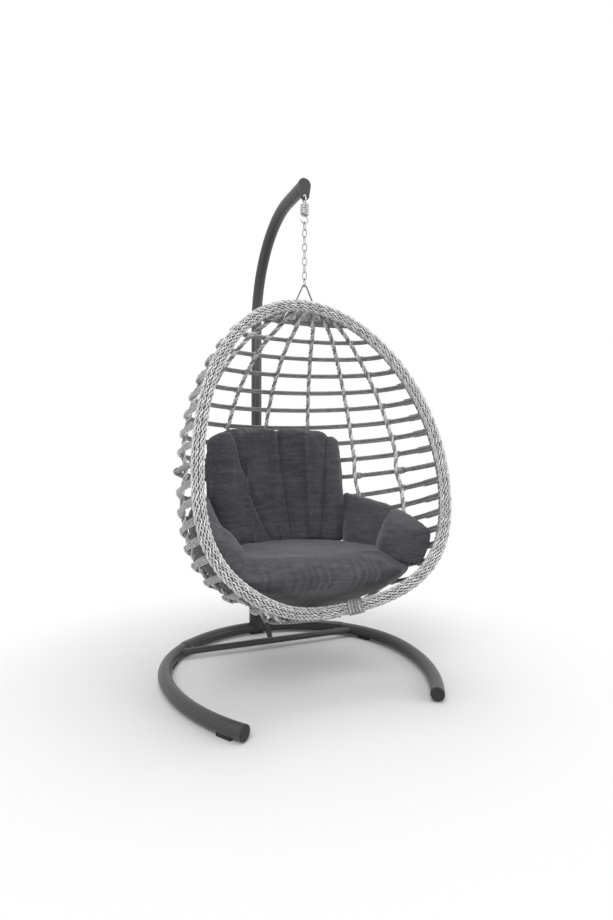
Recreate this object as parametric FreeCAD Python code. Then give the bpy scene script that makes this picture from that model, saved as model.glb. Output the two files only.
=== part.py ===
import FreeCAD, Part
import math
import os

# Hanging egg chair: a woven basket on a chain and spring, under a bent tube stand.
# Millimetres, +Z up. The chair faces -Y. The origin is on the floor, under the middle of the
# stand's length and width.

V = FreeCAD.Vector
os.makedirs("parts", exist_ok=True)

# Stand: the curved base
base_tube_d = 50.0
base_radius = 512.0
leg_front_radius = 800.0
leg_reach = 481.0
sleeve_angle = 48.7
sleeve_d = 54.0
sleeve_length = 42.0
spigot_d = 45.0
spigot_length = 60.0
spigot_clearance = 0.4
plug_depth = 26.0
plug_bore_d = 45.0
plug_head = 5.0
plug_clearance = 0.3
pad_thickness = 5.0
pad_length = 60.0
pad_width = 34.0
crossbar_d = 28.0
crossbar_y = 291.0

# Stand: socket, post and arm
socket_d = 70.0
socket_wall = 4.5
socket_top = 275.0
post_lower_d = 60.0
post_lower_wall = 4.5
post_lower_top = 820.0
arm_d = 50.0
arm_wall = 2.0
arm_overlap = 90.0
arm_bend_radius = 420.0
arm_top = 1940.0
arm_droop = 3.5
strut_width = 20.0
strut_depth = 13.0
strut_wall = 2.5
strut_top = 222.0
screw_d = 8.0
screw_head_d = 14.0
screw_head_h = 4.4
screw_hex = 5.0
screw_clearance = 0.2
spot_depth = 0.8
bar_spot_depth = 1.2

# Hanging eye on the end of the arm
plate_width = 52.0
plate_thickness = 5.0
plate_eye_drop = 41.5
plate_eye_d = 13.0
plate_tip_radius = 19.3
hang_y = -108.0

# Spring, chain and hanger
spring_wire = 5.6
spring_coil_d = 34.0
spring_turns = 6
spring_pitch = 6.3
spring_loop_d = 34.0
spring_hook_drop = 5.0
spring_loop_open = 42.0
loop_steps = 4
rest_gap = 0.35
link_wire = 5.0
link_width = 21.0
link_pitch = 28.0
links_upper = 4
links_lower = 5
link_bend_steps = 6
hanger_wire = 6.0
hanger_height = 44.0
hanger_foot_span = 52.0
hanger_top_radius = 9.0

# Basket: lean, rim and levels, in the basket's own upright frame below its reference point
basket_lean = 9.5
basket_ref_z = 1535.0
rim_wide_level = -796.0
rim_half_width = 468.5
rim_up = 715.5
rim_down = 449.6
rim_belly = -128.0
rim_rise_top = 139.0
rim_rise_bottom = 169.0
rim_top_power = 1.77
rim_bottom_power = 9.76
rim_hip = 0.062
rim_band = 48.0
rim_depth = 40.0
hoop_d = 17.0
belt_level = -722.0
upper_straps = 9
upper_pitch = 64.0
lower_straps = 8
lower_pitch = 59.0
strap_height = 16.0
strap_thickness = 7.0
belt_d = 22.0
wall_bulge = 17.0
back_depth = 765.0
back_point = 1.8
back_round = 2.2
back_down = 548.0
crown_level = -85.0
fan_belt = 0.05
fan_rise = 0.00044
fan_drop = 0.22
fan_fade = 180.0
widest_share = 0.28
front_turn = 36.0
rope_angle = 27.0
ropes_each_side = 3
rope_gather = 0.35
rope_d = 16.0
rope_slack = 2.5
low_strap_room = 1.2
rope_flat = math.cos(math.pi / 6)
crown_spacing = 36.0
crown_share = 0.5
crown_thickness = 9.0
bottom_level = -1278.0
bottom_half_width = 140.0
bottom_half_depth = 86.0
bottom_y = 215.0
bottom_ring_d = 18.0
bottom_rope_angle = 45.0
mat_thickness = 8.0
mat_gap = 1.9
wrap_length = 34.0
wrap_thickness = 5.0
wrap_slack = 1.9
rim_stations = 48
binding_phi = 166.0
binding_length = 44.0
binding_cord = 5.0
binding_turns = 5
binding_valley = 0.55
rim_sides = 10
hoop_sides = 8

# Cushions
back_pad_slack = -1.2
arm_pad_slack = 2.7
cushion_centre_y = 100.0
pad_sides = 20
pad_end_power = 0.6
pad_crown_power = 0.75
pad_flat_power = 0.3
pad_seam = 0.68
pad_edge = 0.45
pad_profile = [(0.16, 0.9), (0.5, 1.0), (0.84, 0.9)]
arm_pad_profile = [0.5, 0.92, 1.0, 0.72, 1.0, 0.92, 0.5]
back_pad_half = 46.0
back_pad_panels = 4
back_pad_low = -986.0
back_pad_high = -465.0
back_pad_thick = 120.0
back_pad_corner = 60.0
arm_pad_start = 46.9
arm_pad_end = 112.0
arm_pad_back_low = -1016.0
arm_pad_front_low = -1074.0
arm_pad_back_high = -765.0
arm_pad_front_high = -950.0
arm_pad_thick = 95.0
# Seat pad: ovals at its foot (height, half width, middle, half depth), then rows that follow
# the wall (height, distance from the wall, front edge, tilt that levels the lean)
seat_foot = [
    (-1273.6, 118.0, 215.0, 66.0),
    (-1250.0, 132.0, 215.0, 94.0),
]
seat_rows = [
    (-1215.0, 68.5, 88.0, 0.0),
    (-1175.0, 51.5, 25.0, 0.05),
    (-1135.0, 41.8, -30.0, 0.1),
    (-1108.0, 38.0, -68.0, 0.165),
    (-1082.0, 36.0, -72.0, 0.165),
    (-1061.0, 72.0, -40.0, 0.165),
    (-1044.0, 140.0, 30.0, 0.165),
]
seat_sides = 24
seat_corner_power = 6


def plan(angle, radius=base_radius, centre_x=0.0):
    """Point on an arc of the base, the angle measured from +X towards the back."""
    a = math.radians(angle)
    return V(centre_x + radius * math.cos(a), radius * math.sin(a), base_z)


def save(shape, name):
    shape = shape.copy()
    shape.translate(V(0, -origin_y, 0))
    shape.exportStep("parts/" + name + ".step")
    print(name, "solids", len(shape.Solids), "valid", shape.isValid(), "volume", round(shape.Volume))


def ring_segment(centre, radius, start, end, tube_r):
    """Round bar along a level arc, angles in degrees from +X."""
    face = Part.Face(Part.Wire(Part.makeCircle(tube_r, V(radius, 0, 0), V(0, 1, 0))))
    bar = face.revolve(V(0, 0, 0), V(0, 0, 1), end - start)
    bar.rotate(V(0, 0, 0), V(0, 0, 1), start)
    bar.translate(centre)
    return bar


def cylinder(p, q, r):
    d = q.sub(p)
    return Part.makeCylinder(r, d.Length, p, d)


def mirror_x(shape):
    return shape.mirror(V(0, 0, 0), V(1, 0, 0))


def facet_solid(rings, closed):
    """Solid skinned over equal-sided rings of points, with triangles between them."""
    n = len(rings[0])
    faces = []
    spans = len(rings) if closed else len(rings) - 1
    for i in range(spans):
        a = rings[i]
        b = rings[(i + 1) % len(rings)]
        for j in range(n):
            k = (j + 1) % n
            faces.append(Part.Face(Part.makePolygon([a[j], a[k], b[k], a[j]])))
            faces.append(Part.Face(Part.makePolygon([a[j], b[k], b[j], a[j]])))
    if not closed:
        for ring in (rings[0], rings[-1]):
            middle = sum_points(ring).multiply(1.0 / n)
            for j in range(n):
                faces.append(Part.Face(Part.makePolygon([middle, ring[j], ring[(j + 1) % n], middle])))
    solid = Part.makeSolid(Part.makeShell(faces))
    if solid.Volume < 0:
        solid.reverse()
    return solid


def sum_points(points):
    total = V(0, 0, 0)
    for p in points:
        total = total.add(p)
    return total


def rings_along(points, closed, half_out, half_up, outward, sides):
    """Oval rings square to a route; outward(point) gives each ring's first direction."""
    rings = []
    last = len(points) - 1
    for i, p in enumerate(points):
        before = points[i - 1] if i > 0 or closed else p
        after = points[(i + 1) % len(points)] if i < last or closed else p
        t = after.sub(before).normalize()
        o = outward(p)
        o = o.sub(V(t).multiply(o.dot(t))).normalize()
        u = t.cross(o)
        ring = []
        for j in range(sides):
            a = 2 * math.pi * (j + 0.5) / sides
            ring.append(p.add(V(o).multiply(half_out * math.cos(a))).add(V(u).multiply(half_up * math.sin(a))))
        rings.append(ring)
    return rings


def round_bar(points, closed, radius, outward, sides):
    return facet_solid(rings_along(points, closed, radius, radius, outward, sides), closed)


# The base
base_z = pad_thickness + base_tube_d / 2
tube_r = base_tube_d / 2
post_y = base_radius
joint_angle = 90 - sleeve_angle
spigot_angle = math.degrees(spigot_length / base_radius)
sleeve_span = math.degrees(sleeve_length / base_radius)
front_centre_x = base_radius - leg_front_radius
leg_end_angle = -math.degrees(math.asin(leg_reach / leg_front_radius))
leg_end = plan(leg_end_angle, leg_front_radius, front_centre_x)
end_radians = math.radians(leg_end_angle)
leg_forward = V(math.sin(end_radians), -math.cos(end_radians), 0)
front_edge = leg_end.y - plug_head * math.cos(end_radians) - tube_r * math.sin(-end_radians)
back_edge = post_y + socket_d / 2 - spot_depth + screw_head_h
origin_y = (front_edge + back_edge) / 2
base_centre = V(0, 0, base_z)
front_centre = V(front_centre_x, 0, base_z)


def screw(head_point, inward, length):
    """Button-head screw with a hex recess; head_point is under the head."""
    out = V(inward).multiply(-1)
    head = Part.makeCylinder(screw_head_d / 2, screw_head_h, head_point, out)
    rim_edges = [e for e in head.Edges if abs(e.Length - math.pi * screw_head_d) < 0.01]
    outer = max(rim_edges, key=lambda e: e.CenterOfMass.sub(head_point).Length)
    head = head.makeFillet(screw_head_h * 0.55, [outer])
    body = Part.makeCylinder(screw_d / 2, length, head_point, inward)
    corner = [V(screw_hex / math.sqrt(3) * math.cos(math.radians(60 * k)),
                screw_hex / math.sqrt(3) * math.sin(math.radians(60 * k)), 0) for k in range(7)]
    recess = Part.Face(Part.makePolygon(corner)).extrude(V(0, 0, screw_head_h * 0.6 + 1))
    recess.translate(V(0, 0, -screw_head_h * 0.6))
    turn = FreeCAD.Rotation(V(0, 0, 1), out)
    recess.Placement = FreeCAD.Placement(head_point.add(V(out).multiply(screw_head_h)), turn).multiply(
        recess.Placement)
    return head.fuse(body).cut(recess)


def screw_hole(head_point, inward, length):
    return Part.makeCylinder(screw_d / 2 + screw_clearance, length, head_point, inward)


def build_base():
    # Legs run from the sleeve joint to the front and end in a bore for the plug
    leg = ring_segment(base_centre, base_radius, 0, joint_angle, tube_r)
    leg = leg.fuse(ring_segment(front_centre, leg_front_radius, leg_end_angle, 0, tube_r))
    leg = leg.fuse(ring_segment(base_centre, base_radius, joint_angle, joint_angle + spigot_angle,
                                spigot_d / 2))
    leg = leg.removeSplitter()
    bore_start = leg_end.add(V(leg_forward).multiply(-plug_depth))
    leg = leg.cut(cylinder(bore_start, leg_end.add(V(leg_forward).multiply(5)), plug_bore_d / 2))

    # Cross screws: one through each crossbar end
    leg_x = math.sqrt(base_radius ** 2 - crossbar_y ** 2)
    seat = V(leg_x + tube_r - bar_spot_depth, crossbar_y, base_z)
    screw_length = base_tube_d + 20
    leg = leg.cut(screw_hole(seat, V(-1, 0, 0), base_tube_d + 10))
    leg = leg.cut(Part.makeCylinder(screw_head_d / 2 + screw_clearance, 20, seat, V(1, 0, 0)))

    # Rear tube: sleeves over the spigots, bored at both ends
    rear = ring_segment(base_centre, base_radius, joint_angle, 180 - joint_angle, tube_r)
    for start in (joint_angle, 180 - joint_angle - sleeve_span):
        rear = rear.fuse(ring_segment(base_centre, base_radius, start, start + sleeve_span, sleeve_d / 2))
    bore_span = spigot_angle + math.degrees(3.0 / base_radius)
    for start in (joint_angle - 0.5, 180 - joint_angle - bore_span):
        rear = rear.cut(ring_segment(base_centre, base_radius, start, start + bore_span + 0.5,
                                     spigot_d / 2 + spigot_clearance / 2))

    # Sleeve screws go in from the inner side, square to the tube
    mid_angle = joint_angle + sleeve_span / 2
    inner = plan(mid_angle, base_radius - sleeve_d / 2)
    towards = V(math.cos(math.radians(mid_angle)), math.sin(math.radians(mid_angle)), 0)
    sleeve_seat = inner.add(V(towards).multiply(spot_depth))
    hole = screw_hole(sleeve_seat.sub(V(towards).multiply(4)), towards, 30)
    spot = Part.makeCylinder(screw_head_d / 2 + screw_clearance, 10, sleeve_seat, V(towards).multiply(-1))
    leg = leg.cut(hole)
    rear = rear.cut(hole).cut(mirror_x(hole)).cut(spot).cut(mirror_x(spot))
    sleeve_screw = screw(sleeve_seat, towards, 24)

    save(leg, "leg_right")
    save(mirror_x(leg), "leg_left")
    save(rear, "base_rear_tube")
    save(Part.makeCompound([sleeve_screw, mirror_x(sleeve_screw)]), "sleeve_screws")
    bar_screw = screw(seat, V(-1, 0, 0), screw_length)
    save(Part.makeCompound([bar_screw, mirror_x(bar_screw)]), "crossbar_screws")

    # Crossbar, coped to the inner side of both legs
    bar = cylinder(V(-leg_x, crossbar_y, base_z), V(leg_x, crossbar_y, base_z), crossbar_d / 2)
    cope = ring_segment(base_centre, base_radius, 0, joint_angle, tube_r)
    sleeve_clear = ring_segment(base_centre, base_radius, joint_angle - 0.2, joint_angle + spigot_angle + 2,
                                sleeve_d / 2 + spigot_clearance)
    bar = bar.cut(cope).cut(mirror_x(cope)).cut(sleeve_clear).cut(mirror_x(sleeve_clear))
    bar = biggest(bar)
    deep = Part.makeCylinder(screw_d / 2 + screw_clearance, screw_length + 4, seat, V(-1, 0, 0))
    bar = bar.cut(deep).cut(mirror_x(deep))
    save(bar, "crossbar")

    # End plugs: a ribbed stem in the bore and a domed head over the tube end
    head = Part.makeCylinder(tube_r, plug_head, leg_end, leg_forward)
    front_rim = [e for e in head.Edges if e.CenterOfMass.sub(leg_end).Length > plug_head * 0.9]
    circle_edges = [e for e in front_rim if abs(e.Length - 2 * math.pi * tube_r) < 0.01]
    head = head.makeFillet(plug_head * 0.6, circle_edges)
    back = V(leg_forward).multiply(-1)
    stem_r = plug_bore_d / 2 - plug_clearance
    stem = Part.makeCylinder(stem_r - 1.5, plug_depth - 2, leg_end, back)
    for k in range(3):
        at = leg_end.add(V(back).multiply(3 + k * 7))
        stem = stem.fuse(Part.makeCylinder(stem_r, 2.5, at, back))
    plug = head.fuse(stem)
    save(plug, "leg_plug_right")
    save(mirror_x(plug), "leg_plug_left")

    # Foot pads clipped under the tube: a flat sole with a seat for the tube
    pads = []
    spots = ((base_centre, base_radius, 90.0), (base_centre, base_radius, joint_angle - 14),
             (front_centre, leg_front_radius, leg_end_angle + 5))
    for centre, radius, angle in spots:
        a = math.radians(angle)
        at = V(centre.x + radius * math.cos(a), centre.y + radius * math.sin(a), 0)
        pad = Part.makeBox(pad_width, pad_length, pad_thickness + tube_r * 0.3,
                           V(-pad_width / 2, -pad_length / 2, 0))
        pad.rotate(V(0, 0, 0), V(0, 0, 1), angle)
        pad.translate(at)
        pad = pad.cut(ring_segment(centre, radius, angle - 6, angle + 6, tube_r))
        pads.append(pad)
        if angle != 90.0:
            pads.append(mirror_x(pad))
    save(Part.makeCompound(pads), "foot_pads")


def build_post():
    # Socket: saddle cut over the rear tube
    socket = Part.makeCylinder(socket_d / 2, socket_top - base_z, V(0, post_y, base_z))
    bore_r = socket_d / 2 - socket_wall
    socket_floor = base_z + tube_r + 4
    socket = socket.cut(Part.makeCylinder(bore_r, socket_top, V(0, post_y, socket_floor)))
    saddle = ring_segment(base_centre, base_radius, 80, 100, tube_r)
    socket = socket.cut(saddle)
    below = Part.makeBox(200, 200, tube_r * 2, V(-100, post_y - 100, base_z - tube_r * 2))
    socket = socket.cut(below)
    socket = biggest(socket)

    # Lower post stands in the socket
    post_r = post_lower_d / 2
    post = Part.makeCylinder(post_r, post_lower_top - socket_floor - 1, V(0, post_y, socket_floor + 1))
    post_bore = post_r - post_lower_wall
    post = post.cut(Part.makeCylinder(post_bore, post_lower_top, V(0, post_y, socket_floor + 1)))

    # Arm: straight, a bend, and a short drooping run to the eye
    bend_z = arm_top - arm_bend_radius
    bend_y = post_y - arm_bend_radius
    droop = math.radians(arm_droop)
    foot = V(0, post_y, post_lower_top - arm_overlap)
    start = V(0, post_y, bend_z)
    crest_a = math.radians(45)
    via = V(0, bend_y + arm_bend_radius * math.cos(crest_a), bend_z + arm_bend_radius * math.sin(crest_a))
    end = V(0, bend_y - arm_bend_radius * math.sin(droop), bend_z + arm_bend_radius * math.cos(droop))
    run = (end.y - (hang_y + plate_thickness / 2)) / math.cos(droop)
    tip = end.add(V(0, -math.cos(droop), -math.sin(droop)).multiply(run))
    route = Part.Wire([Part.makeLine(foot, start), Part.Arc(start, via, end).toShape(),
                       Part.makeLine(end, tip)])
    over = tip.add(V(0, -math.cos(droop), -math.sin(droop)).multiply(20))
    long_route = Part.Wire([Part.makeLine(foot, start), Part.Arc(start, via, end).toShape(),
                            Part.makeLine(end, over)])

    def pipe(r):
        ring = Part.Wire(Part.makeCircle(r, foot, V(0, 0, 1)))
        return long_route.makePipeShell([ring], True, False)

    arm = pipe(arm_d / 2).cut(pipe(arm_d / 2 - arm_wall))
    trim = Part.makeBox(400, 200, 400, V(-200, hang_y + plate_thickness / 2 - 200, tip.z - 200))
    arm = arm.cut(trim)
    print("arm route", round(route.Length, 1), "volume ratio",
          round(arm.Volume / (route.Length * math.pi * arm_wall * (arm_d - arm_wall)), 4))

    # Screws: two hold the lower post in the socket, one holds the arm in the lower post
    screws = []
    for z in (socket_top - 30, socket_top - 110):
        seat = V(0, post_y + socket_d / 2 - spot_depth, z)
        screws.append(screw(seat, V(0, -1, 0), 16))
        hole = screw_hole(seat, V(0, -1, 0), 18)
        socket = socket.cut(hole)
        spot = Part.makeCylinder(screw_head_d / 2 + screw_clearance, 10, seat, V(0, 1, 0))
        socket = socket.cut(spot)
        post = post.cut(hole)
    seat = V(0, post_y + post_lower_d / 2 - spot_depth, post_lower_top - 40)
    arm_screw = screw(seat, V(0, -1, 0), 13)
    hole = screw_hole(seat, V(0, -1, 0), 16)
    spot = Part.makeCylinder(screw_head_d / 2 + screw_clearance, 10, seat, V(0, 1, 0))
    post = post.cut(hole).cut(spot)
    arm = arm.cut(hole)
    screws.append(arm_screw)

    # Strut: a channel bar from the crossbar up to the socket
    low = V(0, crossbar_y, base_z)
    high = V(0, post_y, strut_top)
    along = high.sub(low)
    length = along.Length
    w = strut_width / 2
    d = strut_depth
    t = strut_wall
    profile = Part.Face(Part.makePolygon([
        V(-w, 0, 0), V(w, 0, 0), V(w, d, 0), V(w - t, d, 0), V(w - t, t, 0), V(t - w, t, 0),
        V(t - w, d, 0), V(-w, d, 0), V(-w, 0, 0)]))
    bar = profile.extrude(V(0, 0, length))
    turn = FreeCAD.Rotation(V(1, 0, 0), V(0, 1, 0), along, "ZXY")
    bar.translate(V(0, -d / 2, 0))
    bar.Placement = FreeCAD.Placement(low, turn).multiply(bar.Placement)
    bar = bar.cut(cylinder(V(-100, crossbar_y, base_z), V(100, crossbar_y, base_z), crossbar_d / 2))
    bar = bar.cut(Part.makeCylinder(socket_d / 2, socket_top, V(0, post_y, 0)))
    bar = biggest(bar)

    save(socket, "post_socket")
    save(post, "post_lower")
    save(arm, "post_arm")
    save(Part.makeCompound(screws), "post_screws")
    save(bar, "socket_strut")
    return tip


def build_end_plate(tip):
    """Welded plate over the tube end, drawn down to a rounded tab with the hanging eye."""
    eye_z = tip.z - plate_eye_drop
    r = plate_width / 2
    s = plate_tip_radius
    centre = V(0, 0, tip.z)
    eye = V(0, 0, eye_z)
    tilt = math.asin((r - s) / plate_eye_drop)
    side = V(math.cos(tilt), 0, -math.sin(tilt))
    upper = centre.add(V(side).multiply(r))
    lower = eye.add(V(side).multiply(s))
    outline = Part.Wire([
        Part.Arc(upper, V(0, 0, tip.z + r), V(-upper.x, 0, upper.z)).toShape(),
        Part.makeLine(V(-upper.x, 0, upper.z), V(-lower.x, 0, lower.z)),
        Part.Arc(V(-lower.x, 0, lower.z), V(0, 0, eye_z - s), lower).toShape(),
        Part.makeLine(lower, upper)])
    plate = Part.Face(outline).extrude(V(0, plate_thickness, 0))
    plate.translate(V(0, hang_y - plate_thickness / 2, 0))
    hole = Part.makeCylinder(plate_eye_d / 2, plate_thickness * 3, V(0, hang_y - plate_thickness, eye_z),
                             V(0, 1, 0))
    plate = plate.cut(hole)
    rim_edges = [e for e in plate.Edges if abs(e.Length - math.pi * plate_eye_d) < 0.01]
    plate = plate.makeFillet(plate_thickness * 0.45, rim_edges)
    save(plate, "arm_end_plate")
    return eye_z - plate_eye_d / 2


def arc_from(p, tangent, q):
    """Arc from p to q that leaves p along the tangent."""
    chord = q.sub(p)
    half = chord.getAngle(tangent)
    middle = p.add(q).multiply(0.5)
    if half < 1e-6:
        return Part.makeLine(p, q)
    side = V(tangent).sub(V(chord).multiply(tangent.dot(chord) / chord.dot(chord))).normalize()
    rise = chord.Length / 2 * math.tan(half / 2)
    return Part.Arc(p, middle.add(side.multiply(rise)), q).toShape()


def biarc(p, tp, q, tq):
    """Two arcs that join two points and share both tangents."""
    v = q.sub(p)
    t = tp.add(tq)
    k = 2 * (1 - tp.dot(tq))
    b = v.dot(t)
    if abs(k) < 1e-9:
        d = v.dot(v) / (2 * b)
    else:
        d = (-b + math.sqrt(b * b + k * v.dot(v))) / k
    a = p.add(V(tp).multiply(d))
    c = q.sub(V(tq).multiply(d))
    joint = a.add(c).multiply(0.5)
    along = c.sub(a).normalize()
    return [arc_from(p, tp, joint), arc_from(joint, along, q)]


def build_spring(hang_z):
    """Extension spring: close turns between two full loops, one unbroken wire."""
    wire_r = spring_wire / 2
    loop_r = (spring_loop_d - spring_wire) / 2
    coil_r = (spring_coil_d - spring_wire) / 2
    top_z = hang_z + rest_gap + wire_r - loop_r
    body_top = top_z - loop_r - spring_hook_drop
    turns = spring_turns + 0.25
    body_low = body_top - turns * spring_pitch
    low_z = body_low - spring_hook_drop - loop_r
    open_angle = math.radians(spring_loop_open)
    stations = []

    # The top loop stands in the YZ plane: from its free end, over the eye, down to the axis
    start = open_angle - math.pi / 2
    for k in range(loop_steps + 1):
        a = start + (2 * math.pi - open_angle) * k / loop_steps
        at = V(0, hang_y + loop_r * math.cos(a), top_z + loop_r * math.sin(a))
        stations.append((at, V(0, -math.sin(a), math.cos(a))))

    # A half turn out to the coil, the close turns, and a half turn back to the axis
    rise = spring_pitch / (2 * math.pi * coil_r)
    for k in range(int(turns * 4) + 1):
        a = math.pi / 2 + k * math.pi / 2
        at = V(coil_r * math.sin(a), hang_y + coil_r * math.cos(a), body_top - spring_pitch * k / 4)
        stations.append((at, V(math.cos(a), -math.sin(a), -rise).normalize()))

    # The lower loop hangs in the XZ plane
    for k in range(loop_steps + 1):
        a = (2 * math.pi - open_angle) * k / loop_steps
        at = V(loop_r * math.sin(a), hang_y, low_z + loop_r * math.cos(a))
        stations.append((at, V(math.cos(a), 0, -math.sin(a))))
    edges = []
    for (p, tp), (q, tq) in zip(stations, stations[1:]):
        edges += biarc(p, tp, q, tq)
    route = Part.Wire(edges)
    first, heading = stations[0]
    ring = Part.Wire(Part.makeCircle(wire_r, first, heading))
    spring = route.makePipeShell([ring], True, False)
    print("spring route", round(route.Length, 1), "volume ratio",
          round(spring.Volume / (route.Length * math.pi * wire_r ** 2), 4),
          "least gap to itself", round(least_self_gap(route, spring_wire), 2))
    save(spring, "spring")
    return low_z - loop_r + wire_r


def least_self_gap(route, thickness):
    """Least gap between stretches of a wire that are over two thicknesses apart along it."""
    step = thickness / 3
    points = route.discretize(Distance=step)
    apart = int(math.ceil(2.5 * thickness / step))
    least = 1e9
    for i in range(len(points)):
        for j in range(i + apart, len(points), 2):
            least = min(least, points[i].distanceToPoint(points[j]))
    return least - thickness


def link(centre_z, across):
    """Welded chain link with its long axis upright; across is the way it is wide."""
    r = (link_width - link_wire) / 2
    straight = (link_pitch + link_wire) / 2 - r
    points = []
    for k in range(link_bend_steps + 1):
        a = math.pi * k / link_bend_steps
        points.append((r * math.cos(a), straight + r * math.sin(a)))
    for k in range(link_bend_steps + 1):
        a = math.pi * k / link_bend_steps
        points.append((-r * math.cos(a), -straight - r * math.sin(a)))
    route = [V(across).multiply(s).add(V(0, hang_y, centre_z + h)) for s, h in points]
    flat = V(0, 0, 1).cross(across)
    return round_bar(route, True, link_wire / 2, lambda p: flat, 8)


def build_chain(top_z):
    """Chain under the spring's lower loop, in two lengths that meet at a pivot."""
    step = link_pitch - rest_gap
    first = top_z + rest_gap - link_pitch / 2
    links = []
    for k in range(links_upper + links_lower):
        across = V(0, 1, 0) if k % 2 == 0 else V(1, 0, 0)
        links.append(link(first - k * step, across))
    save(Part.makeCompound(links[:links_upper]), "chain_upper_links")
    save(Part.makeCompound(links[links_upper:]), "chain_lower_links")
    pivot = first - (links_upper - 1) * step - link_pitch / 2
    print("chain pivot z", round(pivot + rest_gap / 2, 2))
    return first - (links_upper + links_lower - 1) * step - link_pitch / 2


def lean(p):
    """Place a point of the upright basket frame in the chair."""
    a = math.radians(basket_lean)
    return V(p.x, hang_y + p.y * math.cos(a) + p.z * math.sin(a),
             basket_ref_z - p.y * math.sin(a) + p.z * math.cos(a))


def lean_shape(shape):
    shape = shape.copy()
    shape.rotate(V(0, 0, 0), V(1, 0, 0), -basket_lean)
    shape.translate(V(0, hang_y, basket_ref_z))
    return shape


def rim_point(phi):
    """Centre line of the rim, phi from 0 at the top to 180 at the bottom and on round."""
    a = math.radians(phi)
    c = math.cos(a)
    s = math.sin(a)
    if c >= 0:
        return V(rim_half_width * s, rim_belly + rim_rise_top * c ** rim_top_power,
                 rim_wide_level + rim_up * c)
    return V(rim_half_width * s * (1 + rim_hip * math.sin(2 * a) ** 2),
             rim_belly + rim_rise_bottom * (-c) ** rim_bottom_power, rim_wide_level + rim_down * c)


def rim_at(level):
    height = level - rim_wide_level
    c = height / (rim_up if height >= 0 else rim_down)
    return rim_point(math.degrees(math.acos(c)))


def fan(level):
    """Tilt of a strap's plane: the straps spread apart like a fan towards the back."""
    rise = level - belt_level
    if rise >= 0:
        return math.atan(fan_belt + fan_rise * rise)
    return math.atan(fan_belt - fan_drop * (1 - math.exp(rise / fan_fade)))


def depth_at(level):
    """Distance from the rim to the back of the basket, along a strap's plane."""
    height = level - belt_level
    if height >= 0:
        return back_depth * (1 - (height / (crown_level - belt_level)) ** back_point)
    return back_depth * (1 - (-height / back_down) ** back_round) ** (1 / back_round)


def flat_wall(level, turn):
    """Middle of the wall in a strap's plane; turn is 0 at the back and over 90 near the rim."""
    depth = depth_at(level)
    widest = widest_share * depth
    half = rim_at(level).x + wall_bulge
    if abs(turn) <= 90:
        a = math.radians(turn)
        return V(half * math.sin(a), widest + (depth - widest) * math.cos(a), 0)
    t = (abs(turn) - 90) / front_turn
    return V(math.copysign(half - wall_bulge * t * t, turn), widest * (1 - t), 0)


def on_plane(level, flat):
    """Point of a strap's plane, in the basket frame."""
    a = fan(level)
    return V(flat.x, rim_at(level).y + flat.y * math.cos(a), level + flat.y * math.sin(a))


def wall(level, turn):
    return on_plane(level, flat_wall(level, turn))


def wall_axes(level, turn):
    """Directions at a point of the wall: round the basket, square to that in the wall, inward."""
    step = 1.0
    round_it = wall(level, turn + step).sub(wall(level, turn - step)).normalize()
    up = wall(level + step, turn).sub(wall(level - step, turn))
    inward = round_it.cross(up).normalize()
    return round_it, inward.cross(round_it), inward


def wall_inside(level, turn, inward):
    """Point of the wall, moved towards the inside of the basket."""
    return wall(level, turn).add(wall_axes(level, turn)[2].multiply(inward))


def wall_side(level, parts):
    """Turns of the stations of one strap, from the back to the middle of the rear hoop."""
    turns = [rope_angle * k / parts for k in range(parts * ropes_each_side + 1)]
    widest = widest_share * depth_at(level)
    end = 90 + front_turn * (1 - hoop_setback / widest)
    return turns + [(turns[-1] + end) / 2, end]


def both_sides(turns):
    return [-t for t in reversed(turns[1:])] + turns


def strap(level, hoop):
    """Flat band lying in the wall, its two ends coped over the rear hoop."""
    rings = []
    for turn in both_sides(wall_side(level, 2)):
        p = wall(level, turn)
        up, inward = wall_axes(level, turn)[1:]
        high = V(up).multiply(strap_height / 2)
        deep = V(inward).multiply(strap_thickness / 2)
        rings.append([p.add(high).add(deep), p.add(high).sub(deep), p.sub(high).sub(deep),
                      p.sub(high).add(deep)])
    return lean_shape(biggest(facet_solid(rings, False).cut(hoop)))


def biggest(shape):
    return max(shape.Solids, key=lambda part: part.Volume)


def levels():
    upper = [belt_level + upper_pitch * (k + 1) for k in range(upper_straps)]
    lower = [belt_level - lower_pitch * (k + 1) for k in range(lower_straps)]
    return upper, lower


def ring_out(p):
    """Outward in the rim's own face, from the middle of the basket."""
    return V(p.x, 0, p.z - rim_wide_level)


hoop_setback = rim_depth / 2 + rest_gap + hoop_d / 2


def rim_behind(phi):
    """Direction square to the rim that points to the back of the basket."""
    step = 0.5
    t = rim_point(phi + step).sub(rim_point(phi - step)).normalize()
    o = ring_out(rim_point(phi))
    square = t.cross(o).normalize()
    return square if square.y > 0 else square.multiply(-1)


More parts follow.
